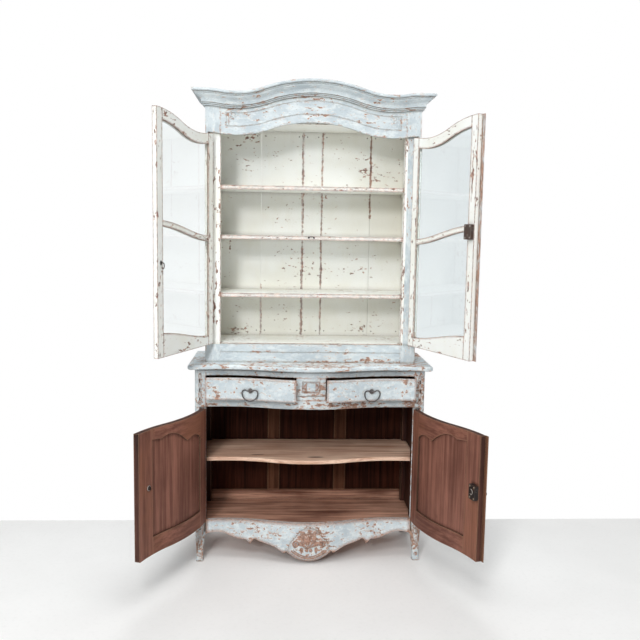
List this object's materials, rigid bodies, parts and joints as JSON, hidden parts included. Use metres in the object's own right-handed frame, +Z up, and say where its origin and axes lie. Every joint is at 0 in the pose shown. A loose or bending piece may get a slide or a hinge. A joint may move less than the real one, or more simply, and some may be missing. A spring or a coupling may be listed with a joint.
{
  "type": "china cabinet",
  "caption": "Two-part china cabinet: glazed hutch with arched cornice over a bowed base with drawers, panelled doors, scalloped apron and bent feet.",
  "frame": {"origin": "on the floor, under the middle of the open cabinet", "axes": "+X to the right seen from the front, +Y to the back, +Z up"},
  "size_m": [1.4295, 0.8688, 2.1949],
  "materials": {
    "painted_wood": "worn pale blue-grey paint",
    "cream_wood": "worn cream paint",
    "stained_wood": "dark brown stain",
    "glass": "clear",
    "iron": "blackened"
  },
  "bodies": {
    "cabinet": {"apron": "painted_wood", "base_back_frame": "stained_wood", "base_back_panels": "stained_wood", "base_floor": "stained_wood", "base_shelf": "stained_wood", "base_sides": "painted_wood", "cornice": "painted_wood", "counter_top": "painted_wood", "drawer_bottom_rail": "painted_wood", "drawer_divider": "painted_wood", "drawer_runners": "stained_wood", "drawer_top_rail": "painted_wood", "frame_hinges": "iron", "frieze_board": "painted_wood", "front_legs": "painted_wood", "hutch_back_planks": "cream_wood", "hutch_ceiling": "cream_wood", "hutch_floor": "cream_wood", "hutch_plinth_rail": "painted_wood", "hutch_posts": "painted_wood", "hutch_shelves": "cream_wood", "hutch_sides": "painted_wood", "rear_legs": "painted_wood", "shelf_cleats": "cream_wood"},
    "upper_left_door": {"upper_left_door_hinges": "iron", "upper_left_door_muntin": "painted_wood", "upper_left_door_panes": "glass", "upper_left_door_rails": "painted_wood", "upper_left_door_stiles": "painted_wood"},
    "upper_right_door": {"upper_right_door_bead": "painted_wood", "upper_right_door_hinges": "iron", "upper_right_door_lock": "iron", "upper_right_door_muntin": "painted_wood", "upper_right_door_panes": "glass", "upper_right_door_rails": "painted_wood", "upper_right_door_stiles": "painted_wood"},
    "lower_left_door": {"lower_left_door_hinges": "iron", "lower_left_door_panel": "stained_wood", "lower_left_door_rails": "painted_wood", "lower_left_door_stiles": "painted_wood", "lower_left_door_stud": "iron"},
    "lower_right_door": {"lower_right_door_bead": "painted_wood", "lower_right_door_hinges": "iron", "lower_right_door_lock": "iron", "lower_right_door_panel": "stained_wood", "lower_right_door_rails": "painted_wood", "lower_right_door_stiles": "painted_wood"},
    "left_drawer": {"left_drawer_box": "stained_wood", "left_drawer_front": "painted_wood", "left_pull_post": "iron"},
    "right_drawer": {"right_drawer_box": "stained_wood", "right_drawer_front": "painted_wood", "right_pull_post": "iron"},
    "left_ring": {"left_pull_ring": "iron"},
    "right_ring": {"right_pull_ring": "iron"},
    "upper_bolt": {"upper_lock_bolt": "iron"},
    "upper_key_turn": {"upper_key": "iron"},
    "lower_bolt": {"lower_lock_bolt": "iron"},
    "lower_key_turn": {"lower_key": "iron"}
  },
  "joints": [
    {"name": "upper_right_door_hinge", "type": "hinge", "parent": "cabinet", "child": "upper_right_door", "pos_m": [0.4718, 0.105, 1.5], "axis": [0, 0, 1], "range_deg": [-113, 43]},
    {"name": "upper_left_door_hinge", "type": "hinge", "parent": "cabinet", "child": "upper_left_door", "pos_m": [-0.4718, 0.105, 1.5], "axis": [0, 0, -1], "range_deg": [-113, 43]},
    {"name": "lower_right_door_hinge", "type": "hinge", "parent": "cabinet", "child": "lower_right_door", "pos_m": [0.503, 0.04308, 0.46], "axis": [0, 0, 1], "range_deg": [-107, 36]},
    {"name": "lower_left_door_hinge", "type": "hinge", "parent": "cabinet", "child": "lower_left_door", "pos_m": [-0.503, 0.04308, 0.46], "axis": [0, 0, -1], "range_deg": [-110.5, 32.5]},
    {"name": "left_drawer_slide", "type": "slide", "parent": "cabinet", "child": "left_drawer", "axis": [0, -1, 0], "range_m": [-0.065, 0.19]},
    {"name": "right_drawer_slide", "type": "slide", "parent": "cabinet", "child": "right_drawer", "axis": [0, -1, 0], "range_m": [-0.065, 0.19]},
    {"name": "left_ring_hinge", "type": "hinge", "parent": "left_drawer", "child": "left_ring", "pos_m": [-0.27418, -0.02762, 0.819], "axis": [-0.9833, 0.1819, 0], "range_deg": [0, 95]},
    {"name": "right_ring_hinge", "type": "hinge", "parent": "right_drawer", "child": "right_ring", "pos_m": [0.27418, -0.02762, 0.819], "axis": [-0.9833, -0.1819, 0], "range_deg": [0, 95]},
    {"name": "upper_key_hinge", "type": "hinge", "parent": "upper_right_door", "child": "upper_key_turn", "pos_m": [0.63876, -0.30625, 1.527], "axis": [0.9205, 0.3907, 0], "range_deg": [0, 180]},
    {"name": "upper_bolt_slide", "type": "slide", "parent": "upper_right_door", "child": "upper_bolt", "axis": [0.3907, -0.9205, 0], "range_m": [0, 0.022]},
    {"name": "lower_key_hinge", "type": "hinge", "parent": "lower_right_door", "child": "lower_key_turn", "pos_m": [0.6825, -0.39874, 0.473], "axis": [0.9563, 0.2924, 0], "range_deg": [0, 180]},
    {"name": "lower_bolt_slide", "type": "slide", "parent": "lower_right_door", "child": "lower_bolt", "axis": [0.2924, -0.9563, 0], "range_m": [0, 0.022]}
  ],
  "couplings": [
    {"joint": "upper_key_hinge", "follows": "upper_bolt_slide", "rad_per_m": 142.8},
    {"joint": "lower_key_hinge", "follows": "lower_bolt_slide", "rad_per_m": 142.8}
  ]
}
